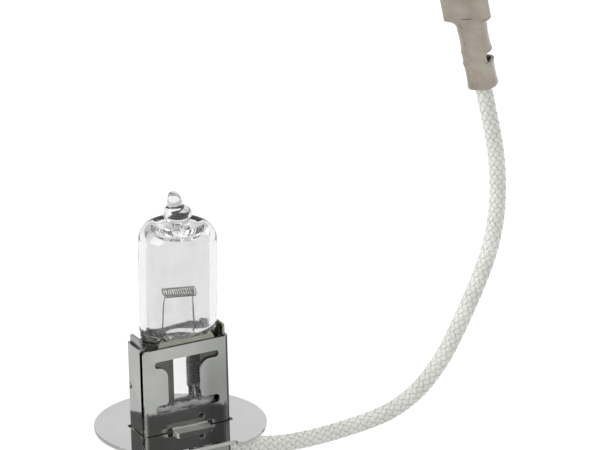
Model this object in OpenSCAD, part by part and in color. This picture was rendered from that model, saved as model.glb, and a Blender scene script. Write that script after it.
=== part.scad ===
// Halogen headlight bulb with a flanged metal base and a short braided lead.
// Millimetres. The origin is the centre of the flange's glass-side face, +Z runs
// along the lamp's axis to the glass tip, +X is the side where the lead leaves,
// and the keyed notch and the front plate face -Y.

/* [Glass] */
// Outer diameter of the glass tube
glass_d = 10; // [9.6:0.1:10.2]
// Wall thickness of the glass tube
glass_wall = 1.0; // [0.8:0.1:1.2]
// Height where the tube turns into the dome
shoulder_z = 24.9; // [24.4:0.1:25.2]
// Radius of the dome's shoulder
shoulder_r = 2.2; // [2:0.1:2.4]
// Height of the bottom of the round tube
tube_bottom_z = 12.4; // [12:0.1:13]
// Width of the flat pinch
pinch_w = 9.5; // [9:0.1:10]

/* [Filament] */
// Height of the coil's centre over the flange, the light centre length
light_centre = 17.8; // [17.5:0.1:18.5]
// Outer diameter of the coil
coil_d = 1.36; // [1.2:0.02:1.6]
// Diameter of the tungsten wire
wire_d = 0.16; // [0.14:0.01:0.18]
// Length of the coil
coil_len = 4.5; // [4.3:0.1:5]

/* [Base] */
// Diameter of the flange
flange_d = 22; // [21:0.1:23]
// Thickness of the flange
flange_t = 0.5; // [0.4:0.05:0.8]
// Width of the outer shell
shell_w = 12.2; // [12:0.1:12.3]
// Depth of the outer shell
shell_d = 4.9; // [4.9:0.1:5.1]
// Height of the outer shell over the flange
shell_top = 11.5; // [11:0.1:12]
// Depth of the base under the flange
base_depth = 7.8; // [7.4:0.1:9]
// Sheet thickness of the outer shell
shell_t = 0.35; // [0.3:0.05:0.35]

/* [Lead] */
// Outer diameter of the braided lead
lead_d = 2.3; // [2:0.1:2.3]
// Width of the blade
blade_w = 6.3; // [6:0.1:6.5]
// Thickness of the blade
blade_t = 0.8; // [0.7:0.1:0.8]
// Length of the blade over its shoulders
blade_len = 10; // [8:0.5:13]

/* [Hidden] */
$fn = 64;

// A cut reaches this far past the material
over = 0.5;

// Glass
glass_r = glass_d / 2;
cavity_r = glass_r - glass_wall;
tube_bottom_r = 2.6;
cavity_bottom_z = tube_bottom_z + 0.5;
cavity_bottom_r = 2.4;
cavity_top_r = 1.1;
cavity_top_z = 25.3;
// The gas space narrows to a slot along X at its bottom, where the jaws pressed the tube
slot_half_w = 1.4;
slot_depth = 1.4;
dome_top_z = shoulder_z + shoulder_r;
// A round groove in the dome's top, with the neck standing in its middle
groove_r = 0.85;
neck_r = 1.5;
collar_r = 1.85;
collar_z = 28.45;
collar_round = 0.7;
nub_r = 0.9;
nub_x = -0.45;
tip_z = 31.4;
// The tube leans a little to the right over its pinch
glass_lean = 1.7;
lean_z = 9.3;
pinch_bottom_z = 2.3;
pinch_top_z = 13.4;
pinch_web_t = 2.5;
pinch_rail_d = 3.56;

// Filament: a coil along X between two legs that run down into the pinch
coil_r = (coil_d - wire_d) / 2;
coil_x = 0.5;
coil_tilt = 7;
coil_turns = 14.5;
steps_per_turn = 12;
wire_sides = 6;
leg_straight_top_z = cavity_bottom_z + 0.1;
coil_foot_z = light_centre - 0.9;
coil_foot_in = 0.02;
leg_x = [-2.1, 2.2];
leg_bottom_z = 9.2;
leg_hole_d = wire_d + 0.04;

// Molybdenum foils in the pinch, with a wire of the outer side on each
foil_w = 2.1;
foil_t = 0.08;
leg_y = (foil_t + wire_d) / 2;
foil_z = [5, 11];
outer_lead_d = 0.6;
outer_lead_y = (foil_t + outer_lead_d) / 2;
outer_lead_top_z = 6.6;
outer_lead_bottom_z = [-2.4, -2.7];
outer_lead_hole_d = outer_lead_d + 0.04;

// Burner clamp: a thin sheet box between the pinch and the outer shell
clamp_t = 0.3;
clamp_w = shell_w - 2 * shell_t - 0.1;
clamp_d = shell_d - 2 * shell_t;
clamp_z = [2.45, 12.25];
clamp_front_bottom_z = 3.9;
clamp_corner_r = 0.8;
clamp_cut_z = shell_top - 0.2;
clamp_front_x = [-3.8, 4.3];
clamp_slope = 0.4;
// The side walls end in flat tabs, the left one lower than the right one
clamp_tab_top_z = [12.6, 13];
clamp_tab_y = [-1.05, 2];
clamp_tab_root_z = clamp_cut_z - 0.4;
clamp_slot_w = 4.1;
clamp_slot_top_z = 10.3;

// Outer shell: one strip folded round, with its open seam at the front left
shell_corner_r = 0.7;
seam_w = 0.7;
window_z = [2.75, 9.85];
window_w = 9;
window_top_bar = 0.87;
window_bottom_bar = 1.15;
stem_w = 4.6;
stem_x = -0.4;
stem_top_r = 1.4;
stem_bottom_r = 0.5;
tab_w = 5;
tab_x = 0.15;
tab_out = 1.75;
tab_t = 0.4;
tab_relief = 0.7;
shell_hole_y = 1.6;
shell_hole_z = 5.8;
shell_hole_d = 0.9;
dent_x = 1.85;
dent_z = 1.35;

// Flange
flange_gap = 0.2;
flange_hole_corner_r = 0.4;
notch_floor = 9;
notch_w = 6.6;
notch_corner_r = 0.8;

// Inside the base
insulator_w = clamp_w;
insulator_d = clamp_d - 0.1;
insulator_top_z = 1.6;
insulator_split_z = -6;
insulator_bottom_z = -base_depth + 0.75;
pocket_z = [-6, -1.9];
splice_pocket_x = [0.6, 4.4];
splice_pocket_d = 2.8;
strip_t = 0.2;
strip_y = [-0.8, 0.7];
strip_bottom_z = -5.2;
tongue_w = 1.6;
ferrule_d = 1.9;
ferrule_x = [1, 3.1];
cover_t = 0.35;
cover_h = 0.7;

// Lead: its route lies in the plane Y = 0, as X and Z
lead_exit = [6.5, -4.3];
lead_end = [44.58, 37.29];
lead_lean = 10;
lead_route = [
    lead_exit, [9, -4.75], [12, -5.5], [15, -5.9], [18, -6], [21, -5.9],
    [24, -5.65], [27, -5.3], [29.7, -4.75], [32.2, -3.75], [34.5, -2.3],
    [36.6, -0.3], [38.4, 1.95], [39.95, 4.45], [41.35, 6.95], [42.72, 9.5],
    [43.92, 12], [44.98, 14.6], [45.74, 17.3], [46.2, 20], [46.38, 22.8],
    [46.37, 25.5], [46.15, 28.3], [45.73, 31], [45.2, 33.8], lead_end
];
braid_start_x = 4.5;
sleeve_start_x = 3.8;
conductor_start_x = 1.2;
braid_in_crimp = 4.2;
conductor_in_crimp = 8;
conductor_d = 1.1;
sleeve_d = 1.7;
lead_sides = 8;
spigot_d = 3.4;
spigot_end_x = 6.4;
lead_hole_d = lead_d + 0.04;

// Blade terminal, drawn upright with its mouth at z = 0 and its plain face to -y
crimp_w = 3.8;
crimp_d = 3.1;
crimp_corner_r = 1.3;
crimp_t = 0.4;
crimp_seam = 0.16;
crimp_len = 8.6;
crimp_gap_z = [3.5, 4.9];
shoulder_h = 1.4;
terminal_turn = -43;
blade_tip = 1.2;
blade_hole_d = 1.6;
blade_hole_from_tip = 4;
blade_top_z = crimp_len + shoulder_h + blade_len;
blade_hole_z = blade_top_z - blade_hole_from_tip;

// ---------------------------------------------------------------- helpers

// A rectangle with round corners, centred on the origin
module rounded_rect(w, d, r) {
    square([w - 2 * r, d], center = true);
    square([w, d - 2 * r], center = true);
    for (x = [-1, 1], y = [-1, 1])
        translate([x * (w / 2 - r), y * (d / 2 - r)]) circle(r);
}

// A tube with a rounded rectangle's outline and an even wall
module rounded_ring(w, d, r, wall) {
    difference() {
        rounded_rect(w, d, r);
        rounded_rect(w - 2 * wall, d - 2 * wall, r - wall);
    }
}

// A block between two corners
module block(low, high) {
    translate(low) cube(high - low);
}

// A wire parallel to Z
module upright_wire(x, y, z, d) {
    translate([x, y, z[0]]) cylinder(h = z[1] - z[0], d = d);
}

// The direction of a list of points at its point i
function unit(v) = v / norm(v);
function heading(p, i) =
    unit(p[min(i + 1, len(p) - 1)] - p[max(i - 1, 0)]);

// A vector square to a heading, turned as little as possible from one point to the next
function across(v, side) = unit(side - (side * v) * v);
function sides(p, i, first) =
    i == 0 ? [across(heading(p, 0), first)] :
    let (before = sides(p, i - 1, first))
    concat(before, [across(heading(p, i), before[i - 1])]);

// One ring of a swept tube
function ring(centre, v, side, r, n) = [
    for (k = [0 : n - 1])
        centre + r * (cos(360 * k / n) * side + sin(360 * k / n) * cross(v, side))
];

// A solid round wire swept along points
module swept_wire(p, d, n, first) {
    side = sides(p, len(p) - 1, first);
    last = len(p) - 1;
    rings = [for (i = [0 : last]) each ring(p[i], heading(p, i), side[i], d / 2, n)];
    walls = [
        for (i = [0 : last - 1], k = [0 : n - 1])
            let (a = i * n + k, b = i * n + (k + 1) % n)
            each [[a, b, b + n], [a, b + n, a + n]]
    ];
    foot = [[for (k = [n - 1 : -1 : 0]) k]];
    head = [[for (k = [0 : n - 1]) last * n + k]];
    polyhedron(rings, [for (f = concat(walls, foot, head)) [for (k = [len(f) - 1 : -1 : 0]) f[k]]]);
}

// A hollow tube swept along points
module swept_tube(p, d, bore, n, first) {
    side = sides(p, len(p) - 1, first);
    last = len(p) - 1;
    outer = [for (i = [0 : last]) each ring(p[i], heading(p, i), side[i], d / 2, n)];
    inner = [for (i = [0 : last]) each ring(p[i], heading(p, i), side[i], bore / 2, n)];
    inside = len(outer);
    walls = [
        for (i = [0 : last - 1], k = [0 : n - 1])
            let (a = i * n + k, b = i * n + (k + 1) % n)
            each [
                [a, b + n, b], [a, a + n, b + n],
                [inside + a, inside + b, inside + b + n],
                [inside + a, inside + b + n, inside + a + n]
            ]
    ];
    ends = [
        for (k = [0 : n - 1])
            let (l = (k + 1) % n, t = last * n)
            each [
                [k, l, inside + l], [k, inside + l, inside + k],
                [t + k, inside + t + l, t + l], [t + k, inside + t + k, inside + t + l]
            ]
    ];
    polyhedron(concat(outer, inner), concat(walls, ends));
}

// ---------------------------------------------------------------- glass

// Half of the envelope's outline, to be turned about its left edge
module envelope_outline() {
    intersection() {
        union() {
            difference() {
                tube_outline();
                translate([neck_r + groove_r, dome_top_z]) circle(groove_r);
            }
            translate([0, dome_top_z - groove_r])
                square([neck_r, collar_z - dome_top_z + groove_r]);
            translate([collar_r - collar_round, collar_z]) circle(collar_round);
            translate([0, collar_z - collar_round])
                square([collar_r - collar_round, 2 * collar_round]);
        }
        square([glass_d, tip_z]);
    }
}

// The tube with its round bottom and its dome, to a little over the axis
module tube_outline() {
    translate([0, tube_bottom_z + tube_bottom_r])
        square([glass_r, shoulder_z - tube_bottom_z - tube_bottom_r]);
    translate([0, tube_bottom_z]) square([glass_r - tube_bottom_r, tube_bottom_r]);
    translate([glass_r - tube_bottom_r, tube_bottom_z + tube_bottom_r]) circle(tube_bottom_r);
    translate([glass_r - shoulder_r, shoulder_z]) circle(shoulder_r);
    translate([0, shoulder_z]) square([glass_r - shoulder_r, shoulder_r]);
}

// Half of the gas space's outline
module cavity_outline() {
    shoulder = cavity_top_z - cavity_top_r;
    bottom = cavity_bottom_z + cavity_bottom_r;
    intersection() {
        union() {
            translate([0, bottom]) square([cavity_r, shoulder - bottom]);
            translate([0, cavity_bottom_z])
                square([cavity_r - cavity_bottom_r, cavity_bottom_r]);
            translate([cavity_r - cavity_bottom_r, bottom]) circle(cavity_bottom_r);
            translate([cavity_r - cavity_top_r, shoulder]) circle(cavity_top_r);
            translate([0, shoulder]) square([cavity_r - cavity_top_r, cavity_top_r]);
        }
        square([glass_d, tip_z]);
    }
}

// The gas space: round above, and pressed to a slot along X at its bottom
module cavity() {
    wall_z = cavity_bottom_z + slot_depth;
    intersection() {
        rotate_extrude() cavity_outline();
        rotate([90, 0, 90]) linear_extrude(glass_d, center = true) polygon([
            [-slot_half_w, cavity_bottom_z - over], [slot_half_w, cavity_bottom_z - over],
            [slot_half_w, cavity_bottom_z], [glass_r, wall_z], [glass_r, tip_z],
            [-glass_r, tip_z], [-glass_r, wall_z], [-slot_half_w, cavity_bottom_z]
        ]);
    }
}

// The sealed end of the exhaust tube, which leans to one side
module exhaust_tip() {
    translate([nub_x, 0, collar_z]) {
        cylinder(h = tip_z - nub_r - collar_z, r = nub_r);
        translate([0, 0, tip_z - nub_r - collar_z]) sphere(nub_r);
    }
}

// Leans its children over the pinch
module leaned() {
    translate([0, 0, lean_z]) rotate([0, glass_lean, 0]) translate([0, 0, -lean_z]) children();
}

// The pressed end of the tube, a web between two thick rails
module pinch() {
    translate([0, 0, pinch_bottom_z]) linear_extrude(pinch_top_z - pinch_bottom_z) {
        square([pinch_w - pinch_rail_d, pinch_web_t], center = true);
        for (side = [-1, 1])
            translate([side * (pinch_w - pinch_rail_d) / 2, 0]) circle(d = pinch_rail_d);
    }
}

module foil_shape(x) {
    block([x - foil_w / 2, -foil_t / 2, foil_z[0]], [x + foil_w / 2, foil_t / 2, foil_z[1]]);
}

module glass_envelope() {
    color([0.86, 0.9, 0.9, 0.35]) difference() {
        union() {
            leaned() {
                rotate_extrude() envelope_outline();
                exhaust_tip();
            }
            pinch();
        }
        leaned() cavity();
        for (i = [0, 1]) {
            foil_shape(leg_x[i]);
            upright_wire(leg_x[i], leg_side(i), [leg_bottom_z, cavity_bottom_z + over],
                leg_hole_d);
            upright_wire(leg_x[i], outer_lead_y, [pinch_bottom_z - over, outer_lead_top_z],
                outer_lead_hole_d);
        }
    }
}

// ---------------------------------------------------------------- filament

// The left leg meets the foil's front face and the right leg its back face
function leg_side(i) = i == 0 ? -leg_y : leg_y;

// A point on the coil, a share of the way from its left end to its right end
function coil_point(share) =
    let (turn = 180 + 360 * coil_turns * share, along = (share - 0.5) * coil_len)
    [
        coil_x + along * cos(coil_tilt) + coil_r * sin(turn) * sin(coil_tilt),
        coil_r * cos(turn),
        light_centre - along * sin(coil_tilt) - coil_r * sin(turn) * cos(coil_tilt)
    ];

coil_steps = coil_turns * steps_per_turn;
coil_points = [for (i = [0 : coil_steps]) coil_point(i / coil_steps)];
left_leg = [
    [leg_x[0], leg_side(0), leg_bottom_z],
    [leg_x[0], leg_side(0), leg_straight_top_z],
    [coil_points[0].x + coil_foot_in, -coil_r, coil_foot_z]
];
right_leg = [
    [coil_points[coil_steps].x - coil_foot_in, coil_r, coil_foot_z],
    [leg_x[1], leg_side(1), leg_straight_top_z],
    [leg_x[1], leg_side(1), leg_bottom_z]
];

module filament() {
    color("dimgray")
        swept_wire(concat(left_leg, coil_points, right_leg), wire_d, wire_sides, [1, 0, 0]);
}

module foil_left() {
    color("lightslategray") foil_shape(leg_x[0]);
}

module foil_right() {
    color("lightslategray") foil_shape(leg_x[1]);
}

module outer_lead_left() {
    color("silver") upright_wire(leg_x[0], outer_lead_y,
        [outer_lead_bottom_z[0], outer_lead_top_z], outer_lead_d);
}

module outer_lead_right() {
    color("silver") upright_wire(leg_x[1], outer_lead_y,
        [outer_lead_bottom_z[1], outer_lead_top_z], outer_lead_d);
}

// ---------------------------------------------------------------- base

// Cuts a shape drawn in the X-Z plane through the whole depth
module through_y() {
    rotate([90, 0, 0]) linear_extrude(3 * shell_d, center = true) children();
}

// What a round inside corner leaves standing: corner at the origin, leg along +x and -y
module corner_fillet(r) {
    difference() {
        square(r);
        translate([r, r]) circle(r);
    }
}

// The I-shaped window: two bars with round ends and a stem between them
module window_outline() {
    top_y = window_z[1] - window_top_bar / 2;
    bottom_y = window_z[0] + window_bottom_bar / 2;
    translate([0, top_y]) rounded_rect(window_w, window_top_bar, window_top_bar * 0.45);
    translate([0, bottom_y])
        rounded_rect(window_w, window_bottom_bar, window_bottom_bar * 0.45);
    translate([stem_x - stem_w / 2, bottom_y]) square([stem_w, top_y - bottom_y]);
    for (side = [-1, 1]) translate([stem_x + side * stem_w / 2, 0]) scale_side(side) {
        translate([0, window_z[1] - window_top_bar]) mirror([0, 1]) corner_fillet(stem_top_r);
        translate([0, window_z[0] + window_bottom_bar]) corner_fillet(stem_bottom_r);
    }
}

// Mirrors its children to the left for side = -1
module scale_side(side) {
    if (side < 0) mirror([1, 0]) children();
    else children();
}

// A tab bent out of the front plate's foot: its root in the plate, then a leaf on the flange
module foot_tab() {
    plate = [-shell_d / 2, -shell_d / 2 + shell_t];
    translate([tab_x, 0, 0]) {
        block([-tab_w / 2, plate[0], 0], [tab_w / 2, plate[1], tab_t]);
        block([-tab_w / 2, plate[0] - tab_out, 0], [tab_w / 2, plate[0], tab_t]);
    }
}

module outer_shell() {
    color([0.72, 0.73, 0.71]) {
        difference() {
            translate([0, 0, -base_depth]) linear_extrude(base_depth + shell_top) {
                rounded_ring(shell_w, shell_d, shell_corner_r, shell_t);
                // the front plate runs flat to its cut edge at the seam
                translate([-shell_w / 2, -shell_d / 2]) square([shell_corner_r, shell_t]);
            }
            through_y() window_outline();
            block([-shell_w, shell_t - shell_d / 2, -base_depth - over],
                [-shell_w / 2 + 2 * shell_t, shell_t - shell_d / 2 + seam_w, shell_top + over]);
            // the openings that the tabs leave, with a relief slit beside each bend
            for (turn = [0, 180]) rotate([0, 0, turn])
                block([tab_x - tab_w / 2 - tab_relief, -shell_d, -tab_out],
                    [tab_x + tab_w / 2 + tab_relief, 0, tab_t]);
            translate([-shell_w / 2, shell_hole_y, shell_hole_z]) rotate([0, 90, 0])
                cylinder(h = 4 * shell_t, d = shell_hole_d, center = true);
            translate([dent_x, -shell_d / 2 - 0.2, dent_z]) sphere(0.4);
            translate([shell_w / 2, 0, lead_exit[1]]) rotate([0, 90, 0])
                cylinder(h = 4 * shell_t, d = spigot_d + 0.1, center = true);
        }
        for (turn = [0, 180]) rotate([0, 0, turn]) foot_tab();
    }
}

// What is cut off beside a long wall's top, which slopes at its end
module clamp_wall_cut(edge) {
    polygon([
        [edge - clamp_slope, clamp_z[1]], [edge, clamp_cut_z], [clamp_w, clamp_cut_z],
        [clamp_w, clamp_z[1] + over], [edge - clamp_slope, clamp_z[1] + over]
    ]);
}

// The flat tab that the left wall ends in
module clamp_tab(top_z) {
    flat_y = clamp_d / 2 - clamp_corner_r;
    translate([-clamp_w / 2, 0, 0]) rotate([90, 0, 90]) linear_extrude(clamp_t) polygon([
        [clamp_tab_y[0], clamp_tab_root_z], [flat_y, clamp_tab_root_z],
        [clamp_tab_y[1], shell_top + 0.1], [clamp_tab_y[1], top_z],
        [clamp_tab_y[0] + clamp_slope, top_z], [clamp_tab_y[0], shell_top]
    ]);
}

module burner_clamp() {
    color([0.45, 0.46, 0.42]) {
        difference() {
            translate([0, 0, clamp_z[0]]) linear_extrude(clamp_z[1] - clamp_z[0])
                rounded_ring(clamp_w, clamp_d, clamp_corner_r, clamp_t);
            through_y() {
                clamp_wall_cut(clamp_front_x[1]);
                mirror([1, 0]) clamp_wall_cut(-clamp_front_x[0]);
            }
            block([-clamp_slot_w / 2, -clamp_d, clamp_z[0] - over],
                [clamp_slot_w / 2, clamp_d, clamp_slot_top_z]);
            block([-clamp_w, -clamp_d, clamp_z[0] - over],
                [clamp_w, clamp_corner_r - clamp_d / 2, clamp_front_bottom_z]);
        }
        clamp_tab(clamp_tab_top_z[0]);
        rotate([0, 0, 180]) clamp_tab(clamp_tab_top_z[1]);
    }
}

// The rim's keyed notch, with round outer corners
module notch_outline() {
    r = notch_corner_r;
    x = notch_w / 2 + r;
    y = -sqrt(pow(flange_d / 2 - r, 2) - x * x);
    rim = [x, y] * (flange_d / 2) / norm([x, y]);
    translate([-notch_w / 2, -flange_d]) square([notch_w, flange_d - notch_floor]);
    for (side = [-1, 1]) scale_side(side) difference() {
        polygon([[notch_w / 2 - 0.1, y], [x, y], rim * 1.1, [notch_w / 2 - 0.1, rim.y * 1.1]]);
        translate([x, y]) circle(r);
    }
}

module flange() {
    color([0.8, 0.8, 0.8]) translate([0, 0, -flange_t]) linear_extrude(flange_t) difference() {
        circle(d = flange_d, $fn = 128);
        rounded_rect(shell_w + 2 * flange_gap, shell_d + 2 * flange_gap, flange_hole_corner_r);
        notch_outline();
    }
}

// ---------------------------------------------------------------- inside the base

module insulator_outline() {
    rounded_rect(insulator_w, insulator_d, shell_corner_r);
}

module insulator_body() {
    height = insulator_top_z - insulator_split_z;
    color("ivory") difference() {
        union() {
            translate([0, 0, insulator_split_z]) linear_extrude(height) insulator_outline();
            // the spigot that guides the lead through the shell's side
            translate([insulator_w / 2 - 1, 0, lead_exit[1]]) rotate([0, 90, 0])
                cylinder(h = spigot_end_x - insulator_w / 2 + 1, d = spigot_d);
        }
        for (i = [0, 1])
            upright_wire(leg_x[i], outer_lead_y, [pocket_z[0], insulator_top_z + over],
                outer_lead_d + 0.2);
        // the splice's pocket, open at the bottom for assembly
        block([splice_pocket_x[0], -splice_pocket_d / 2, pocket_z[0] - over],
            [splice_pocket_x[1], splice_pocket_d / 2, pocket_z[1]]);
        translate([splice_pocket_x[1] - over, 0, lead_exit[1]]) rotate([0, 90, 0])
            cylinder(h = shell_w, d = lead_hole_d);
        // the earth strip's pocket, open to the left
        block([-shell_w, strip_y[0], pocket_z[0] - over],
            [leg_x[0] + 0.6, outer_lead_y + 0.5, pocket_z[1]]);
    }
}

module insulator_cap() {
    color("ivory") translate([0, 0, insulator_bottom_z])
        linear_extrude(insulator_split_z - insulator_bottom_z) insulator_outline();
}

// Welded to the left wire and to the shell's left wall
module earth_strip() {
    wire_face = leg_x[0] - outer_lead_d / 2;
    wall = -shell_w / 2 + shell_t;
    low = [strip_y[0], strip_bottom_z];
    high = [strip_y[1], pocket_z[1]];
    color("silver") {
        block([wire_face - strip_t, low.x, low.y], [wire_face, high.x, high.y]);
        block([wall, low.x, low.y], [wire_face, high.x, low.y + strip_t]);
        block([wall, low.x, low.y], [wall + strip_t, high.x, high.y]);
    }
}

// A ferrule crimped on the conductor, with a tongue welded to the right wire
module splice_clip() {
    tongue_y = outer_lead_y - outer_lead_d / 2;
    color("goldenrod") {
        difference() {
            union() {
                translate([ferrule_x[0], 0, lead_exit[1]]) rotate([0, 90, 0])
                    cylinder(h = ferrule_x[1] - ferrule_x[0], d = ferrule_d);
                block([leg_x[1] - tongue_w / 2, tongue_y - strip_t, lead_exit[1]],
                    [leg_x[1] + tongue_w / 2, tongue_y, pocket_z[1] - 0.1]);
            }
            translate([ferrule_x[0] - over, 0, lead_exit[1]]) rotate([0, 90, 0])
                cylinder(h = ferrule_x[1] - ferrule_x[0] + 2 * over, d = conductor_d);
        }
    }
}

module base_cover() {
    floor_z = -base_depth + 0.05;
    color([0.72, 0.73, 0.71]) translate([0, 0, floor_z]) {
        linear_extrude(cover_t) rounded_rect(insulator_w, insulator_d, shell_corner_r);
        linear_extrude(cover_h) rounded_ring(insulator_w, insulator_d, shell_corner_r, cover_t);
    }
}

// ---------------------------------------------------------------- lead

// A point of the X-Z plane, and the lead's straight start and end
function in_plane(p) = [p.x, 0, p.y];
function at_start(x) = in_plane([x, lead_exit.y]);
function past_end(s) = in_plane(lead_end + s * [-sin(lead_lean), cos(lead_lean)]);
route = [for (p = lead_route) in_plane(p)];
upward = [0, 1, 0];

module lead_conductor() {
    points = concat([at_start(conductor_start_x), at_start(sleeve_start_x)],
        [at_start(braid_start_x)], route, [past_end(braid_in_crimp)],
        [past_end(conductor_in_crimp)]);
    color("peru") swept_wire(points, conductor_d, lead_sides, upward);
}

module lead_inner_sleeve() {
    points = concat([at_start(sleeve_start_x), at_start(braid_start_x)], route,
        [past_end(braid_in_crimp)]);
    color("whitesmoke") swept_tube(points, sleeve_d, conductor_d, lead_sides, upward);
}

module lead_braid() {
    points = concat([at_start(braid_start_x)], route, [past_end(braid_in_crimp)]);
    color([0.82, 0.84, 0.8]) swept_tube(points, lead_d, sleeve_d, lead_sides, upward);
}

// The blade's outline, drawn flat
module blade_outline() {
    foot = crimp_len;
    top = blade_top_z;
    polygon([
        [-crimp_w / 2, foot - over], [-crimp_w / 2, foot],
        [-blade_w / 2, foot + shoulder_h], [-blade_w / 2, top - blade_tip],
        [-blade_w / 2 + blade_tip, top], [blade_w / 2 - blade_tip, top],
        [blade_w / 2, top - blade_tip], [blade_w / 2, foot + shoulder_h],
        [crimp_w / 2, foot], [crimp_w / 2, foot - over]
    ]);
}

// The crimped barrel: one wrap on the braid and one on the bare conductor
module crimp_barrel() {
    difference() {
        linear_extrude(crimp_len) rounded_rect(crimp_w, crimp_d, crimp_corner_r);
        translate([0, 0, -over]) cylinder(h = crimp_gap_z[1] + over, d = lead_d);
        translate([0, 0, -over]) cylinder(h = crimp_len + 2 * over, d = conductor_d);
        // the seam where the wings meet at the back
        translate([-crimp_seam / 2, 0, -over]) cube([crimp_seam, crimp_d, crimp_len + 2 * over]);
        // the open gap between the wraps, where only the base strip goes on
        translate([-crimp_w / 2 + crimp_t * 2, -crimp_d / 2 + crimp_t, crimp_gap_z[0]])
            cube([crimp_w, crimp_d, crimp_gap_z[1] - crimp_gap_z[0]]);
    }
}

module blade_terminal() {
    blade_y = -crimp_d / 2;
    color([0.66, 0.62, 0.58]) translate(in_plane(lead_end)) rotate([0, -lead_lean, 0])
        rotate([0, 0, terminal_turn]) {
            crimp_barrel();
            translate([0, blade_y + blade_t, 0]) rotate([90, 0, 0]) linear_extrude(blade_t)
                difference() {
                    blade_outline();
                    translate([0, blade_hole_z]) circle(d = blade_hole_d);
                }
        }
}

glass_envelope();
filament();
foil_left();
foil_right();
outer_lead_left();
outer_lead_right();
burner_clamp();
outer_shell();
flange();
insulator_body();
insulator_cap();
earth_strip();
splice_clip();
base_cover();
lead_conductor();
lead_inner_sleeve();
lead_braid();
blade_terminal();
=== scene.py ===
import math
from math import cos, pi, radians, sin, sqrt, tau

import bmesh
import bpy
import numpy as np
from mathutils import Matrix, Vector
from mathutils.geometry import delaunay_2d_cdt


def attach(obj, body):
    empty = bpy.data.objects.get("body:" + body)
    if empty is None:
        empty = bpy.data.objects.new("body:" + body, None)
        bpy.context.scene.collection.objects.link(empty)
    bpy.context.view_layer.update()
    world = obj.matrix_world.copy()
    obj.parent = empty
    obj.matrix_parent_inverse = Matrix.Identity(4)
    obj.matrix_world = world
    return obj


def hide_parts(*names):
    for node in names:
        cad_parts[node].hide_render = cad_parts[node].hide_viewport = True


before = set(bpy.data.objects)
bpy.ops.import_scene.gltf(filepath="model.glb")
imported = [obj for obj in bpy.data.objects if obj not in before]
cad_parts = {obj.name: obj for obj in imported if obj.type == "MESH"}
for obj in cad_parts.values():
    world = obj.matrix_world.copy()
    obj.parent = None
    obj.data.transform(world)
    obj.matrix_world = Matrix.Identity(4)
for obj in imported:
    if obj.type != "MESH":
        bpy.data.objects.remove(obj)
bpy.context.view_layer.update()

# The model is drawn in millimetres, and every mesh is turned into metres as it is made.
MM = 0.001
scene = bpy.context.scene


# ---------- camera

AZIMUTH, ELEVATION, ROLL = radians(-26.7), radians(20.7), radians(1.6)
DISTANCE = 1.2
VIEW_WIDTH = 0.07634
LAMP_IN_VIEW = (-0.01523, -0.02511)
SENSOR = 36.0

BACK = Vector((sin(AZIMUTH) * cos(ELEVATION), -cos(AZIMUTH) * cos(ELEVATION), sin(ELEVATION)))
LEVEL_RIGHT = Vector((cos(AZIMUTH), sin(AZIMUTH), 0))
LEVEL_UP = BACK.cross(LEVEL_RIGHT)
RIGHT = LEVEL_RIGHT * cos(ROLL) - LEVEL_UP * sin(ROLL)
UP = LEVEL_RIGHT * sin(ROLL) + LEVEL_UP * cos(ROLL)


def make_camera():
    data = bpy.data.cameras.new("camera")
    data.sensor_width = SENSOR
    data.lens = SENSOR * DISTANCE / VIEW_WIDTH
    data.clip_start, data.clip_end = 0.05, 20
    camera = bpy.data.objects.new("camera", data)
    scene.collection.objects.link(camera)
    centre = -(LAMP_IN_VIEW[0] * RIGHT + LAMP_IN_VIEW[1] * UP)
    turn = Matrix((RIGHT, UP, BACK)).transposed().to_4x4()
    camera.matrix_world = Matrix.Translation(centre + DISTANCE * BACK) @ turn
    scene.camera = camera


make_camera()


# ---------- mesh helpers

def piece(name, parts, material, nodes=(), uvs=None):
    """Makes one piece from (points in mm, faces) lists, and puts it on the frame."""
    points, faces = [], []
    for part_points, part_faces in parts:
        first = len(points)
        points.extend(tuple(c * MM for c in p) for p in part_points)
        faces.extend(tuple(first + i for i in f) for f in part_faces)
    mesh = bpy.data.meshes.new(name)
    mesh.from_pydata(points, [], faces)
    mesh.validate()
    mesh.polygons.foreach_set("use_smooth", [True] * len(mesh.polygons))
    if uvs is not None:
        layer = mesh.uv_layers.new(name="strand")
        index = np.empty(len(mesh.loops), dtype=np.int64)
        mesh.loops.foreach_get("vertex_index", index)
        layer.data.foreach_set("uv", np.asarray(uvs, dtype=np.float32)[index].ravel())
    mesh.materials.append(material)
    thing = bpy.data.objects.new(name, mesh)
    scene.collection.objects.link(thing)
    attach(thing, "root")
    if nodes:
        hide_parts(*nodes)
    return thing


def thicken(thing, thickness, bevel, segments=2):
    """Gives a bent sheet its thickness inwards, then rounds its cut edges."""
    wall = thing.modifiers.new("thickness", "SOLIDIFY")
    wall.thickness = thickness * MM
    wall.offset = -1
    wall.use_even_offset = True
    soften(thing, bevel, segments)


def soften(thing, bevel, segments=2, angle=40):
    edge = thing.modifiers.new("edges", "BEVEL")
    edge.width = bevel * MM
    edge.segments = segments
    edge.limit_method = "ANGLE"
    edge.angle_limit = radians(angle)
    normals = thing.modifiers.new("normals", "WEIGHTED_NORMAL")
    normals.keep_sharp = True


def arc(x, y, r, start, turn, steps):
    return [(x + r * cos(start + turn * k / steps), y + r * sin(start + turn * k / steps))
            for k in range(steps + 1)]


def circle(x, y, r, n=32):
    return arc(x, y, r, 0, tau, n)[:-1]


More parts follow.
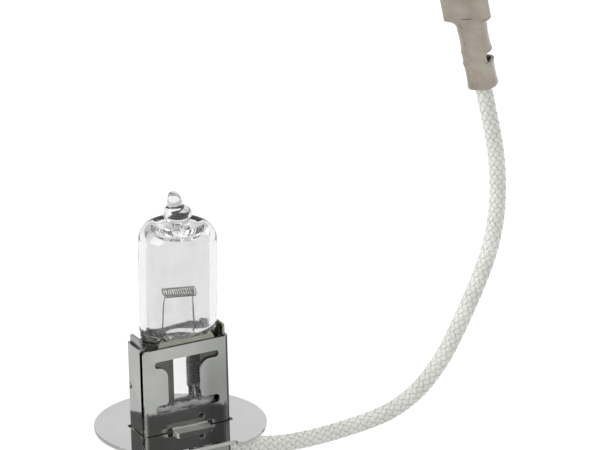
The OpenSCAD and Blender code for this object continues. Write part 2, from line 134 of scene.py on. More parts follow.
def rounded(corners, step=12):
    """A closed outline through (x, y, radius) corners."""
    out = []
    count = len(corners)
    for i, (x, y, r) in enumerate(corners):
        p = Vector((x, y))
        if r <= 0:
            out.append((x, y))
            continue
        to_last = (Vector(corners[i - 1][:2]) - p).normalized()
        to_next = (Vector(corners[(i + 1) % count][:2]) - p).normalized()
        half = to_last.angle(to_next) / 2
        centre = p + (to_last + to_next).normalized() * (r / sin(half))
        start = p + to_last * (r / math.tan(half)) - centre
        end = p + to_next * (r / math.tan(half)) - centre
        a0 = math.atan2(start.y, start.x)
        turn = (math.atan2(end.y, end.x) - a0 + pi) % tau - pi
        steps = max(2, math.ceil(abs(turn) / radians(step)))
        out += arc(centre.x, centre.y, r, a0, turn, steps)
    return out


def inside(loop, x, y):
    """True if the point lies in the closed outline."""
    hit = False
    for (ax, ay), (bx, by) in zip(loop, loop[1:] + loop[:1]):
        if (ay > y) != (by > y) and x < ax + (y - ay) * (bx - ax) / (by - ay):
            hit = not hit
    return hit


def blank(loops, u_cuts=(), v_cuts=(), patches=()):
    """A flat blank with holes, cut along its bend lines, with raised or sunk patches let in."""
    coords, edges = [], []
    for loop in loops:
        first = len(coords)
        coords += [Vector(p) for p in loop]
        edges += [(first + i, first + (i + 1) % len(loop)) for i in range(len(loop))]
    points, _, faces, *_ = delaunay_2d_cdt(coords, edges, [], 1, 1e-6)
    flat = bmesh.new()
    made = [flat.verts.new((p.x, p.y, 0)) for p in points]
    for f in faces:
        x, y = sum((points[i] for i in f), Vector((0, 0))) / len(f)
        if not any(inside(hole, x, y) for hole in loops[1:]):
            flat.faces.new([made[i] for i in f])
    loose = [v for v in flat.verts if not v.link_faces]
    bmesh.ops.delete(flat, geom=loose, context="VERTS")
    for patch_points, patch_faces in patches:
        own = [flat.verts.new(p) for p in patch_points]
        for f in patch_faces:
            flat.faces.new([own[i] for i in f])
    bmesh.ops.remove_doubles(flat, verts=flat.verts, dist=1e-4)
    flat.normal_update()
    bmesh.ops.reverse_faces(flat, faces=[f for f in flat.faces if f.normal.z < 0])
    bmesh.ops.dissolve_limit(flat, angle_limit=radians(0.5), use_dissolve_boundaries=False,
                             verts=flat.verts[:], edges=flat.edges[:])
    for cuts, axis in ((u_cuts, (1, 0, 0)), (v_cuts, (0, 1, 0))):
        for c in cuts:
            everything = flat.verts[:] + flat.edges[:] + flat.faces[:]
            bmesh.ops.bisect_plane(
                flat, geom=everything, dist=1e-5, plane_co=Vector(axis) * c, plane_no=axis)
    flat.verts.index_update()
    points = [tuple(v.co) for v in flat.verts]
    faces = [tuple(v.index for v in f.verts) for f in flat.faces]
    flat.free()
    return points, faces


class Fold:
    """The line that a sheet's outer face follows, seen from above, turning left at each bend."""

    def __init__(self, start, heading, steps):
        self.rows, self.bends = [], []
        p, t, s = Vector(start), Vector(heading), 0.0
        for length, radius in steps:
            self.rows.append((s, p.copy(), t.copy(), 0.0))
            p, s = p + t * length, s + length
            if radius:
                self.rows.append((s, p.copy(), t.copy(), radius))
                left = Vector((-t.y, t.x))
                p = p + (t + left) * radius
                self.bends.append((s, s + radius * pi / 2))
                s, t = s + radius * pi / 2, left
        self.length = s

    def at(self, s):
        """Where the face is at that length along it, and which way it faces."""
        for first, p, t, radius in reversed(self.rows):
            if s >= first or first == 0:
                break
        along = s - first
        if not radius:
            return p + t * along, Vector((t.y, -t.x))
        a = along / radius
        centre = p + Vector((-t.y, t.x)) * radius
        t = Vector((t.x * cos(a) - t.y * sin(a), t.x * sin(a) + t.y * cos(a)))
        out = Vector((t.y, -t.x))
        return centre + out * radius, out

    def cuts(self, steps=8):
        return [a + (b - a) * k / steps for a, b in self.bends for k in range(steps + 1)]

    def place(self, point):
        s, z, h = point
        p, out = self.at(s)
        return (p.x + out.x * h, p.y + out.y * h, z)


def skin(rows, close=True, caps=True):
    """Quads over rings of points, with a flat fan over each end."""
    n = len(rows[0])
    points = [tuple(p) for row in rows for p in row]
    faces = []
    for i in range(len(rows) - 1):
        for k in range(n if close else n - 1):
            a, b = i * n + k, i * n + (k + 1) % n
            faces.append((a, b, b + n, a + n))
    if caps:
        for row, flip in ((0, True), (len(rows) - 1, False)):
            centre = len(points)
            points.append(tuple(np.mean(np.asarray(rows[row]), axis=0)))
            for k in range(n):
                a, b = row * n + k, row * n + (k + 1) % n
                faces.append((b, a, centre) if flip else (a, b, centre))
    return points, faces


def tube(line, radius, sides, start_side=(0, 1, 0)):
    """A round wire swept along points, turned as little as possible."""
    line = np.asarray(line, float)
    ahead = np.gradient(line, axis=0)
    ahead /= np.linalg.norm(ahead, axis=1)[:, None]
    side = np.asarray(start_side, float)
    rows = []
    for p, t in zip(line, ahead):
        side = side - np.dot(side, t) * t
        side /= np.linalg.norm(side)
        across = np.cross(t, side)
        rows.append([p + radius * (cos(tau * k / sides) * side + sin(tau * k / sides) * across)
                     for k in range(sides)])
    return skin(rows)


def smooth_line(points, spacing):
    """A smooth line through the points, with a point at every step of its length."""
    p = np.asarray(points, float)
    fine = []
    for i in range(len(p) - 1):
        before, after = p[max(i - 1, 0)], p[min(i + 2, len(p) - 1)]
        for t in np.linspace(0, 1, 12, endpoint=False):
            fine.append(0.5 * (2 * p[i] + (p[i + 1] - before) * t
                               + (2 * before - 5 * p[i] + 4 * p[i + 1] - after) * t ** 2
                               + (3 * p[i] - before - 3 * p[i + 1] + after) * t ** 3))
    fine = np.array(fine + [p[-1]])
    length = np.concatenate([[0], np.cumsum(np.linalg.norm(np.diff(fine, axis=0), axis=1))])
    at = np.linspace(0, length[-1], int(round(length[-1] / spacing)) + 1)
    return np.stack([np.interp(at, length, fine[:, i]) for i in range(3)], axis=1)


def smoothstep(low, high, x):
    t = min(max((x - low) / (high - low), 0.0), 1.0)
    return t * t * (3 - 2 * t)


# ---------- materials

class Nodes:
    """Adds nodes to a material's or a world's tree, with its shader ready."""

    def __init__(self, owner, shader="Principled BSDF", **sockets):
        owner.use_nodes = True
        self.owner = owner
        self.tree = owner.node_tree
        self.shader = self.tree.nodes[shader]
        for key, value in sockets.items():
            self.shader.inputs[key.replace("_", " ")].default_value = value

    def add(self, kind, inputs, **settings):
        """A new node; each input is set to a plain value or linked to an output."""
        node = self.tree.nodes.new(kind)
        for key, value in settings.items():
            setattr(node, key, value)
        for key, value in inputs.items():
            if isinstance(value, bpy.types.NodeSocket):
                self.tree.links.new(value, node.inputs[key])
            else:
                node.inputs[key].default_value = value
        return node

    def set(self, socket, value):
        self.tree.links.new(value, self.shader.inputs[socket])

    def coords(self, output):
        """Object or Normal, in object space, or the map along the braid's strands."""
        if output == "strand":
            return self.add("ShaderNodeUVMap", {}, uv_map=output).outputs["UV"]
        return self.add("ShaderNodeTexCoord", {}).outputs[output]

    def axes(self, output):
        return self.add("ShaderNodeSeparateXYZ", {0: self.coords(output)}).outputs

    def space(self, stretch=(1, 1, 1), output="Object"):
        """Coordinates in millimetres, stretched along each axis."""
        unit = MM if output == "Object" else 1
        return self.add("ShaderNodeMapping", {
            "Vector": self.coords(output), "Scale": [s / unit for s in stretch]}).outputs[0]

    def noise(self, space, scale, detail=3.0, rough=0.5):
        return self.add("ShaderNodeTexNoise", {
            "Vector": space, "Scale": scale, "Detail": detail, "Roughness": rough,
        }).outputs["Fac"]

    def scaled(self, value, low, high, out_low, out_high, curve="LINEAR"):
        return self.add("ShaderNodeMapRange", {
            "Value": value, "From Min": low, "From Max": high, "To Min": out_low,
            "To Max": out_high}, interpolation_type=curve).outputs["Result"]

    def colours(self, value, *stops):
        node = self.add("ShaderNodeValToRGB", {"Fac": value})
        ramp = node.color_ramp
        while len(ramp.elements) < len(stops):
            ramp.elements.new(0.5)
        for element, (position, colour) in zip(ramp.elements, stops):
            element.position = position
            element.color = (*colour, 1)
        return node.outputs["Color"]

    def bump(self, height, depth, under=None):
        inputs = {"Height": height, "Distance": depth * MM, "Strength": 1.0}
        if under is not None:
            inputs["Normal"] = under
        return self.add("ShaderNodeBump", inputs).outputs["Normal"]

    def math(self, operation, *values):
        inputs = dict(enumerate(values))
        return self.add("ShaderNodeMath", inputs, operation=operation).outputs[0]

    def vectors(self, operation, first, second, output="Value"):
        return self.add("ShaderNodeVectorMath", {0: first, 1: second},
                        operation=operation).outputs[output]

    def toned(self, factor):
        """Multiplies the base colour, to paint shade and dark reflection into folds, hidden faces
        and edges.
        """
        colour = self.shader.inputs["Base Color"].links[0].from_socket
        self.set("Base Color", self.vectors("MULTIPLY", colour, factor, "Vector"))
        return self.owner


def material_nodes(name, **sockets):
    return Nodes(bpy.data.materials.new(name), **sockets)


def metal_nodes(name, dark, light, rough, grain=(1, 1, 1), blotch=0.25, fine=9.0, depth=0.003,
                wave=0.0):
    """A rolled or drawn metal: blotches of tone, fine grain lines, and a faintly uneven face."""
    m = material_nodes(name, Metallic=1.0)
    plain = m.space()
    drawn = m.space(grain)
    tone = m.noise(plain, blotch, 4, 0.6)
    m.set("Base Color", m.colours(tone, (0.35, dark), (0.65, light)))
    lines = m.noise(drawn, fine, 3, 0.6)
    m.set("Roughness", m.scaled(lines, 0.3, 0.7, *rough))
    normal = m.bump(lines, depth)
    if wave:
        normal = m.bump(m.noise(plain, 0.35, 1), wave, under=normal)
    m.set("Normal", normal)
    return m


def metal(*args, **kwargs):
    return metal_nodes(*args, **kwargs).owner


def shell_material():
    """Bright sheet, with painted dark reflection along the bend at its right and down its right
    side, and painted shade in its pit and on its foot tabs.
    """
    m = metal_nodes("bright shell steel", (0.34, 0.35, 0.335), (0.405, 0.412, 0.395),
                    (0.07, 0.13), grain=(1, 1, 0.12), blotch=0.18, depth=0.0015, wave=0.02)
    facing_x, facing_y, _ = m.axes("Normal")
    # Painted dark reflection on the bends whose faces turn between front and right, and between
    # back and left, down to 0.16.
    bend = m.scaled(m.math("MULTIPLY", facing_x, facing_y), -0.36, -0.14, 0.16, 1.0)
    x, y, z = m.axes("Object")
    # Painted dark reflection on the right of the front and back plates, darker from x 1 mm
    # rightwards and from z 10 mm downwards, to 0.6.
    painted_dark = m.math("MULTIPLY", m.scaled(x, 1.0 * MM, 3.2 * MM, 0.0, 1.0),
                    m.scaled(z, 10.0 * MM, 5.5 * MM, 0.4, 1.0))
    # Painted shade in the welding pit, down to 0.12 at its middle.
    pit = m.vectors("DISTANCE", m.space(), (DENT_X, -SHELL_D / 2, DENT_Z))
    # The foot tabs are matt, and their faces turned to the front get painted shade, down to a
    # quarter
    tabs = m.scaled(m.math("ABSOLUTE", y), 2.5 * MM, 2.65 * MM, 0.0, 1.0)
    rough = m.shader.inputs["Roughness"].links[0].from_socket
    m.set("Roughness", m.math("MAXIMUM", rough, m.scaled(tabs, 0.0, 1.0, 0.0, 0.45)))
    m.set("Metallic", m.scaled(tabs, 0.0, 1.0, 1.0, 0.35))
    # Painted shade and painted dark reflection, each multiplied into the colour: the tabs' front
    # faces, the bends, the right of the plates, and the pit.
    for tone in (m.math("MAXIMUM", m.scaled(facing_y, -0.9, -0.6, 0.25, 1.0),
                        m.scaled(tabs, 0.0, 1.0, 1.0, 0.0)),
                 bend, m.scaled(painted_dark, 0.0, 1.0, 1.0, 0.6),
                 m.scaled(pit, 0.3, 0.52, 0.12, 1.0)):
        m.toned(tone)
    return m.owner


def clamp_material():
    """Bright above the shell, with painted shade inside it and in its front corners, and a painted
    bluish reflection on its left tab.
    """
    m = metal_nodes("clamp steel", (0.26, 0.26, 0.215), (0.34, 0.34, 0.29), (0.24, 0.34),
                    grain=(1, 1, 0.1), blotch=0.3, depth=0.002, wave=0.02)
    x, y, z = m.axes("Object")
    plain = (1.0, (1, 1, 1))
    # Painted shade: below z 10.1 to 10.6 mm, inside the shell, the colour is darkened to a bluish
    # grey.
    inside = m.colours(m.scaled(z, 10.1 * MM, 10.6 * MM, 0.0, 1.0),
                       (0.0, (0.30, 0.305, 0.33)), plain)
    # Painted bluish reflection on the left tab, left of x -5.0 to -5.2 mm.
    left_tab_painted_tint = m.colours(m.scaled(x, -5.2 * MM, -5.0 * MM, 0.0, 1.0),
                         (0.0, (1.0, 0.97, 1.2)), plain)
    # Painted shade in the front corners, beyond |x| 4.7 to 5.1 mm, down to 0.08, but not towards
    # the back or above z 11.7 mm.
    painted_dark = m.scaled(m.math("ABSOLUTE", x), 4.7 * MM, 5.1 * MM, 1.0, 0.08)
    for lit in (m.scaled(y, -1.4 * MM, -1.1 * MM, 0.0, 1.0),
                m.scaled(z, 11.3 * MM, 11.7 * MM, 0.0, 1.0)):
        painted_dark = m.math("MAXIMUM", painted_dark, lit)
    m.toned(left_tab_painted_tint)
    m.toned(inside)
    return m.toned(painted_dark)


def flange_material():
    """A polished disc with a sheared rim; painted dark reflection makes the rim greyer and draws a
    dark line along each rounded edge.
    """
    m = metal_nodes("polished flange steel", (0.86, 0.865, 0.86), (0.92, 0.925, 0.92),
                    (0.02, 0.05), blotch=0.15, fine=5, depth=0.0004, wave=0.004)
    # Painted dark reflection by which way each face turns: grey on the rim, dark lines on the
    # rounded edges, the flat faces left as they are.
    up = m.scaled(m.axes("Normal")[2], -1.0, 1.0, 0.0, 1.0)
    rim, edge = (0.42, 0.42, 0.40), (0.14, 0.14, 0.12)
    return m.toned(m.colours(up, (0.02, (1, 1, 1)), (0.08, edge), (0.35, rim), (0.6, rim),
                             (0.72, edge), (0.9, edge), (0.985, (1, 1, 1))))


def glass_material():
    """Clear quartz, drawn along its axis, with a milky foot, which is partly its frosted broken
    edge and partly painted reflection.
    """
    m = material_nodes("quartz glass", Roughness=0.0, IOR=1.46, Transmission_Weight=1.0)
    drawn = m.space((1, 1, 0.25))
    tone = m.noise(drawn, 0.6, 2)
    m.set("Base Color", m.colours(tone, (0.3, (0.78, 0.783, 0.78)), (0.7, (0.84, 0.842, 0.84))))
    m.set("Normal", m.bump(m.noise(drawn, 1.1, 1), 0.015))
    # The milky foot below about 4 mm stands partly for the frosted broken edge and partly for
    # painted reflection.
    frost_and_glint = m.math("MULTIPLY_ADD", m.noise(m.space(), 0.9, 2), 1.6 * MM,
                    m.axes("Object")[2])
    m.set("Transmission Weight", m.scaled(frost_and_glint, 3.8 * MM, 4.2 * MM, 0.35, 1.0))
    return m.owner


def ceramic_material():
    m = material_nodes("steatite")
    plain = m.space()
    tone = m.noise(plain, 0.9, 5, 0.6)
    m.set("Base Color", m.colours(tone, (0.3, (0.62, 0.59, 0.52)), (0.7, (0.74, 0.72, 0.66))))
    grain = m.noise(plain, 14, 3, 0.7)
    m.set("Roughness", m.scaled(grain, 0.3, 0.7, 0.5, 0.7))
    m.set("Normal", m.bump(grain, 0.02))
    # Painted shade: the front and back faces, beyond |y| 1.8 to 2.0 mm, are darkened to a tenth.
    side = m.math("ABSOLUTE", m.axes("Object")[1])
    return m.toned(m.scaled(side, 1.8 * MM, 2.0 * MM, 1.0, 0.1))


def braid_material():
    """Woven glass yarn: fibres along each strand, and shade where a strand dips under."""
    m = material_nodes("glass yarn", IOR=1.5, Sheen_Weight=0.25, Sheen_Roughness=0.4)
    fibres = m.noise(m.space((0.8, 16, 1), "strand"), 1.6, 3, 0.6)
    patches = m.noise(m.space(), 0.35, 3)
    tone = m.math("MULTIPLY_ADD", fibres, 0.35, m.scaled(patches, 0.3, 0.7, 0.2, 0.45))
    m.set("Base Color", m.colours(tone, (0.3, (0.62, 0.64, 0.585)), (0.65, (0.78, 0.79, 0.745))))
    m.set("Roughness", m.scaled(fibres, 0.3, 0.7, 0.42, 0.62))
    m.set("Normal", m.bump(fibres, 0.012))
    across = m.math("ABSOLUTE", m.axes("strand")[1])
    return m.toned(m.scaled(across, 0.14, 0.36, 1.0, 0.68))


def sleeve_material():
    m = material_nodes("inner sleeve", Roughness=0.5)
    weave = m.noise(m.space((3, 3, 3)), 1.5, 2)
    m.set("Base Color", m.colours(weave, (0.3, (0.62, 0.62, 0.58)), (0.7, (0.74, 0.74, 0.7))))
    m.set("Normal", m.bump(weave, 0.03))
    return m.owner


GLASS = glass_material()
CERAMIC = ceramic_material()
BRAID = braid_material()
SLEEVE = sleeve_material()
CLAMP_STEEL = clamp_material()
FLANGE_STEEL = flange_material()
TUNGSTEN = metal("tungsten", (0.24, 0.24, 0.215), (0.36, 0.36, 0.33), (0.25, 0.4), fine=12)
MOLYBDENUM = metal("molybdenum", (0.32, 0.32, 0.33), (0.5, 0.5, 0.5), (0.2, 0.35),
                   grain=(0.2, 1, 1))
BRASS = metal("brass", (0.62, 0.47, 0.24), (0.78, 0.6, 0.33), (0.2, 0.35))
COPPER = metal("tinned copper", (0.58, 0.42, 0.34), (0.78, 0.66, 0.58), (0.2, 0.35))
TERMINAL_BRASS = metal("plated terminal", (0.27, 0.232, 0.19), (0.37, 0.335, 0.285), (0.26, 0.36),
                       grain=(1, 1, 0.15), blotch=0.22, fine=5, depth=0.002, wave=0.02)


# ---------- lead

# The lead's route in the plane Y = 0, as X and Z, as the CAD has it
LEAD_EXIT = (6.5, -4.3)
LEAD_END = (44.58, 37.29)
LEAD_LEAN = radians(10)
LEAD_ROUTE = [
    LEAD_EXIT, (9, -4.75), (12, -5.5), (15, -5.9), (18, -6), (21, -5.9), (24, -5.65),
    (27, -5.3), (29.7, -4.75), (32.2, -3.75), (34.5, -2.3), (36.6, -0.3), (38.4, 1.95),
    (39.95, 4.45), (41.35, 6.95), (42.72, 9.5), (43.92, 12), (44.98, 14.6), (45.74, 17.3),
    (46.2, 20), (46.38, 22.8), (46.37, 25.5), (46.15, 28.3), (45.73, 31), (45.2, 33.8), LEAD_END,
]
BRAID_START_X, SLEEVE_START_X, CONDUCTOR_START_X = 4.5, 3.8, 1.2
BRAID_IN_CRIMP, CONDUCTOR_IN_CRIMP = 4.2, 8.0
CARRIERS = 8
LAY = 10.4
BRAID_MIDDLE_R = 0.9
BRAID_WEAVE = 0.11
STRAND_WIDTH, STRAND_THICK = 0.70, 0.2
SLEEVE_R, SLEEVE_PAST_BRAID = 0.78, 0.35
CORE_WIRES, CORE_WIRE_R, CORE_LAY_R, CORE_LAY = 7, 0.17, 0.35, 12.0


def lead_line(start_x, in_crimp, spacing=0.25):
    """The lead's centre line from inside the base to inside the crimp."""
    start = [(x, 0, LEAD_EXIT[1]) for x in (start_x, (start_x + LEAD_EXIT[0]) / 2)]
    middle = [(x, 0, z) for x, z in LEAD_ROUTE]
    end = [(LEAD_END[0] - s * sin(LEAD_LEAN), 0, LEAD_END[1] + s * cos(LEAD_LEAN))
           for s in (in_crimp / 2, in_crimp)]
    return smooth_line(start + middle + end, spacing)


class Along:
    """Points round the lead, by length along it, angle and radius."""

    def __init__(self, line):
        self.line = line
        self.length = np.concatenate(
            [[0], np.cumsum(np.linalg.norm(np.diff(line, axis=0), axis=1))])
        ahead = np.gradient(line, axis=0)
        self.ahead = ahead / np.linalg.norm(ahead, axis=1)[:, None]

    def at(self, s, angle, radius):
        s = np.clip(s, 0, self.length[-1])
        centre = [np.interp(s, self.length, self.line[:, i]) for i in range(3)]
        tx = np.interp(s, self.length, self.ahead[:, 0])
        tz = np.interp(s, self.length, self.ahead[:, 2])
        out = radius * np.cos(angle)
        return np.stack([centre[0] - tz * out, centre[1] + radius * np.sin(angle),
                         centre[2] + tx * out], axis=-1)


def braid_strands(along):
    """Two sets of carriers wound opposite ways, each over one and under the next."""
    total = along.length[-1]
    ring_step = LAY / (2 * CARRIERS)
    s = np.linspace(0, total, int(total / ring_step * 5))
    ring = np.linspace(0, tau, 10, endpoint=False)
    flat = np.sign(np.cos(ring)) * np.abs(np.cos(ring)) ** 0.7 * STRAND_WIDTH / 2
    thick = np.sign(np.sin(ring)) * np.abs(np.sin(ring)) ** 0.8 * STRAND_THICK / 2
    slope = math.atan(tau * BRAID_MIDDLE_R / LAY)
    parts, uvs = [], []
    for way in (1, -1):
        for i in range(CARRIERS):
            turn = tau * i / CARRIERS + way * tau * s / LAY
            lift = way * BRAID_WEAVE * np.cos(pi * s / ring_step)
            place = s[:, None] - way * flat[None, :] * sin(slope)
            angle = turn[:, None] + flat[None, :] * cos(slope) / BRAID_MIDDLE_R
            radius = (BRAID_MIDDLE_R + lift)[:, None] + thick[None, :]
            rows = along.at(place, angle, radius)
            parts.append(skin(list(rows if way > 0 else rows[:, ::-1])))
            uv = np.stack(np.broadcast_arrays(
                s[:, None] + 7.3 * (i + CARRIERS * way), flat[None, :]), axis=-1)
            if way < 0:
                uv = uv[:, ::-1]
            uvs.append(uv.reshape(-1, 2))
            uvs.append(np.array([[s[0], 0], [s[-1], 0]]))
    return parts, np.concatenate(uvs)


def twisted_strands(along):
    """A stranded core: one straight wire with the others laid round it."""
    s = np.arange(0, along.length[-1], 0.4)
    parts = []
    for i in range(CORE_WIRES):
        turn = tau * i / (CORE_WIRES - 1) + tau * s / CORE_LAY
        centre = along.at(s, turn, np.full_like(s, CORE_LAY_R if i else 0.0))
        parts.append(tube(centre, CORE_WIRE_R, 6))
    return parts


BRAID_ALONG = Along(lead_line(BRAID_START_X, BRAID_IN_CRIMP))
SLEEVE_ALONG = Along(lead_line(SLEEVE_START_X, BRAID_IN_CRIMP + SLEEVE_PAST_BRAID))
CONDUCTOR_ALONG = Along(lead_line(CONDUCTOR_START_X, CONDUCTOR_IN_CRIMP))

strand_parts, strand_uvs = braid_strands(BRAID_ALONG)
braid = piece("lead_braid_weave", strand_parts, BRAID, ["lead_braid"], strand_uvs)
sleeve = piece("lead_sleeve", [tube(SLEEVE_ALONG.line[::2], SLEEVE_R, 16)], SLEEVE,
               ["lead_inner_sleeve"])
core = piece("lead_core", twisted_strands(CONDUCTOR_ALONG), COPPER,
             ["lead_conductor"])


# ---------- terminal

TERMINAL_TURN = radians(-43)
CRIMP_W, CRIMP_D, CRIMP_R = 3.8, 3.1, 1.3
CRIMP_LEN, FUNNEL_LEN, BLADE_LEN = 8.6, 1.4, 10.0
CRIMP_GAP = (3.5, 4.9)
FUNNEL_HALF_GIRTH, FUNNEL_LAP, FUNNEL_LAP_TOP = 3.3, 0.15, 0.10
WING_FLARE, WING_WAIST = 0.10, 0.06
TERMINAL_T = 0.38
BLADE_HALF_W, BLADE_FOLD_R = 3.15, 0.4
BLADE_TIP, BLADE_HOLE_R, HOLE_FROM_TIP = 1.2, 0.8, 4
SEAM = 0.08
BLADE_Z = CRIMP_LEN + FUNNEL_LEN
BLADE_TOP = BLADE_Z + BLADE_LEN


def on_lead_end(point):
    """From the terminal's own frame, upright and facing -y, to its place on the lead."""
    x, y, z = point
    x, y = (x * cos(TERMINAL_TURN) - y * sin(TERMINAL_TURN),
            x * sin(TERMINAL_TURN) + y * cos(TERMINAL_TURN))
    return (LEAD_END[0] + x * cos(LEAD_LEAN) - z * sin(LEAD_LEAN), y,
            LEAD_END[1] + x * sin(LEAD_LEAN) + z * cos(LEAD_LEAN))


def barrel_blank():
    """Two wings wrapped round the lead, joined by a strip on the plain side."""
    side, back = CRIMP_D - 2 * CRIMP_R, CRIMP_W / 2 - CRIMP_R - SEAM
    fold = Fold((-SEAM, CRIMP_D / 2), (-1, 0), [
        (back, CRIMP_R), (side, CRIMP_R), (CRIMP_W - 2 * CRIMP_R, CRIMP_R), (side, CRIMP_R),
        (back, 0)])
    # The strip that joins the wings runs from left to right at the height of the gap
    end, left, right = fold.length, 1.5, 7.35
    low, high = CRIMP_GAP
    outline = rounded([
        (0, 0, 0.4), (end, 0, 0.4), (end, low, 0.5), (right, low, 0.45), (right, high, 0.45),
        (end, high, 0.5), (end, CRIMP_LEN, 0.4), (7.9, CRIMP_LEN, 0.2), (3.5, CRIMP_LEN, 0.2),
        (0, CRIMP_LEN, 0.4), (0, high, 0.5), (left, high, 0.45), (left, low, 0.45),
        (0, low, 0.5)])
    rows = [0.25 * k for k in range(1, int(CRIMP_LEN / 0.25))]
    points, faces = blank([outline], fold.cuts(), rows)

    def press(z):
        """Flares the mouths of the wings and waists them where the tool closed them."""
        for a, b in ((0, low), (high, CRIMP_LEN)):
            if a <= z <= b:
                t = (z - a) / (b - a)
                return WING_FLARE * (2 * t - 1) ** 4 - WING_WAIST * sin(pi * t)
        return 0.0

    return [on_lead_end(fold.place((s, z, h + press(z)))) for s, z, h in points], faces


def funnel_blank():
    """The strip opens from the barrel's channel to the flat blade."""
    columns, rows = 33, 13
    out = []
    for j in range(rows):
        t = j / (rows - 1)
        flat = smoothstep(0, 1, t)
        z = CRIMP_LEN - FUNNEL_LAP + (FUNNEL_LEN + FUNNEL_LAP + FUNNEL_LAP_TOP) * t
        row = []
        for i in range(columns):
            c = 2 * i / (columns - 1) - 1
            reach = abs(c) * FUNNEL_HALF_GIRTH
            straight = CRIMP_W / 2 - CRIMP_R
            bend = min(max(reach - straight, 0) / CRIMP_R, pi / 2)
            rise = max(reach - straight - CRIMP_R * pi / 2, 0)
            x = min(reach, straight) + CRIMP_R * sin(bend)
            y = -CRIMP_D / 2 + CRIMP_R * (1 - cos(bend)) + rise
            x += (abs(c) * (BLADE_HALF_W - 0.1) - x) * flat
            y += (-CRIMP_D / 2 - y) * flat
            row.append(on_lead_end((math.copysign(x, c), y, z)))
        out.append(row)
    return skin(out, close=False, caps=False)


def blade_blank():
    """One sheet folded over at both edges, so that its edges meet down the back."""
    flat = BLADE_HALF_W - BLADE_FOLD_R
    thick = 2 * BLADE_FOLD_R
    y = -CRIMP_D / 2 + thick
    fold = Fold((-SEAM / 2, y), (-1, 0), [
        (flat - SEAM / 2, BLADE_FOLD_R), (0, BLADE_FOLD_R), (2 * flat, BLADE_FOLD_R),
        (0, BLADE_FOLD_R), (flat - SEAM / 2, 0)])
    end = fold.length
    quarter = BLADE_FOLD_R * pi / 2
    apex = flat - SEAM / 2 + quarter
    cut = BLADE_HALF_W - BLADE_TIP
    front = flat - SEAM / 2 + 2 * quarter
    low, high, foot = BLADE_TOP - BLADE_TIP, BLADE_TOP, BLADE_Z - 0.05
    hole_z = BLADE_TOP - HOLE_FROM_TIP
    half_hole = [(BLADE_HOLE_R * cos(a), hole_z + BLADE_HOLE_R * sin(a))
                 for a in np.linspace(-pi / 2, pi / 2, 15)]
    outline = [(0, foot), (end, foot)]
    outline += [(end - x, z) for x, z in half_hole]
    middle = front + flat
    outline += [(end, high), (end - cut, high), (end - apex, low), (middle + cut, high),
                (middle - cut, high), (apex, low), (cut, high), (0, high)]
    outline += [(x, z) for x, z in reversed(half_hole)]
    hole = circle(middle, hole_z, BLADE_HOLE_R)
    points, faces = blank([outline, hole], fold.cuts())
    return [on_lead_end(fold.place(p)) for p in points], faces


terminal = piece("terminal", [barrel_blank(), funnel_blank(), blade_blank()], TERMINAL_BRASS,
                 ["blade_terminal"])
thicken(terminal, TERMINAL_T, 0.07)


# ---------- glass

GLASS_R, GLASS_WALL = 5.0, 1.0
SHOULDER_Z, SHOULDER_H, SHOULDER_R = 24.85, 2.2, 1.8
PINCH_BOTTOM, PINCH_TOP, TUBE_Z = 2.3, 12.25, 15.0
PINCH_HALF_W, WEB_HALF_T, RAIL_R = 4.75, 1.25, 1.78
# The pinch's foot is rounded and lumpy, and its top widens a little into the tube
FOOT_ROUND_X, FOOT_ROUND_Z, FOOT_LUMPS, FOOT_TOP = 0.5, 0.3, 0.16, 2.9
PINCH_FLARE = 0.055
CAVITY_BOTTOM, CAVITY_CORNER_H = 12.9, 1.2
CAVITY_FLOOR, CAVITY_FLOOR_SLOPE, CAVITY_FLOOR_LUMPS = (3.0, 2.4), 0.08, 0.03
GLASS_LEAN, LEAN_Z = radians(1.7), 9.3
GLASS_SIDES = 96
# Radius, height and sideways lean from the dome's crest over its groove to the sealed tip
EXHAUST = [
    (3.05, 27.03, 0), (2.88, 26.97, 0), (2.7, 26.87, 0), (2.52, 26.72, 0), (2.36, 26.56, 0),
    (2.2, 26.4, 0), (2.04, 26.26, 0), (1.88, 26.17, 0), (1.74, 26.17, 0), (1.64, 26.27, 0),
    (1.56, 26.45, 0), (1.51, 26.75, 0), (1.49, 27.1, 0), (1.48, 27.4, 0), (1.5, 27.58, 0),
    (1.62, 27.7, 0), (1.76, 27.8, 0), (1.84, 27.96, 0), (1.86, 28.2, 0), (1.82, 28.5, 0),
    (1.73, 28.78, -0.02), (1.6, 28.98, -0.05), (1.42, 29.16, -0.1), (1.24, 29.32, -0.18),
    (1.1, 29.46, -0.26), (1.0, 29.64, -0.33), (0.95, 29.88, -0.37), (0.93, 30.14, -0.4),
    (0.9, 30.4, -0.43), (0.82, 30.7, -0.48), (0.7, 30.96, -0.54), (0.55, 31.15, -0.58),
    (0.36, 31.29, -0.62), (0.16, 31.36, -0.64),
]
# The roof of the gas space from under the crest, down round the neck, and up the sealed bore
ROOF = [
    (3.0, 25.97), (2.9, 25.8), (2.76, 25.6), (2.55, 25.42), (2.3, 25.28), (2.05, 25.19),
    (1.8, 25.15), (1.55, 25.14), (1.3, 25.17), (1.08, 25.26), (0.9, 25.42), (0.76, 25.65),
    (0.66, 25.95), (0.58, 26.3), (0.5, 26.7), (0.4, 27.1), (0.26, 27.4), (0.1, 27.55),
]


def pinch_half_t(x):
    rail_x = PINCH_HALF_W - RAIL_R
    if x > rail_x:
        return sqrt(max(RAIL_R ** 2 - (x - rail_x) ** 2, 0))
    return WEB_HALF_T + (RAIL_R - WEB_HALF_T) * smoothstep(1.1, rail_x, x)


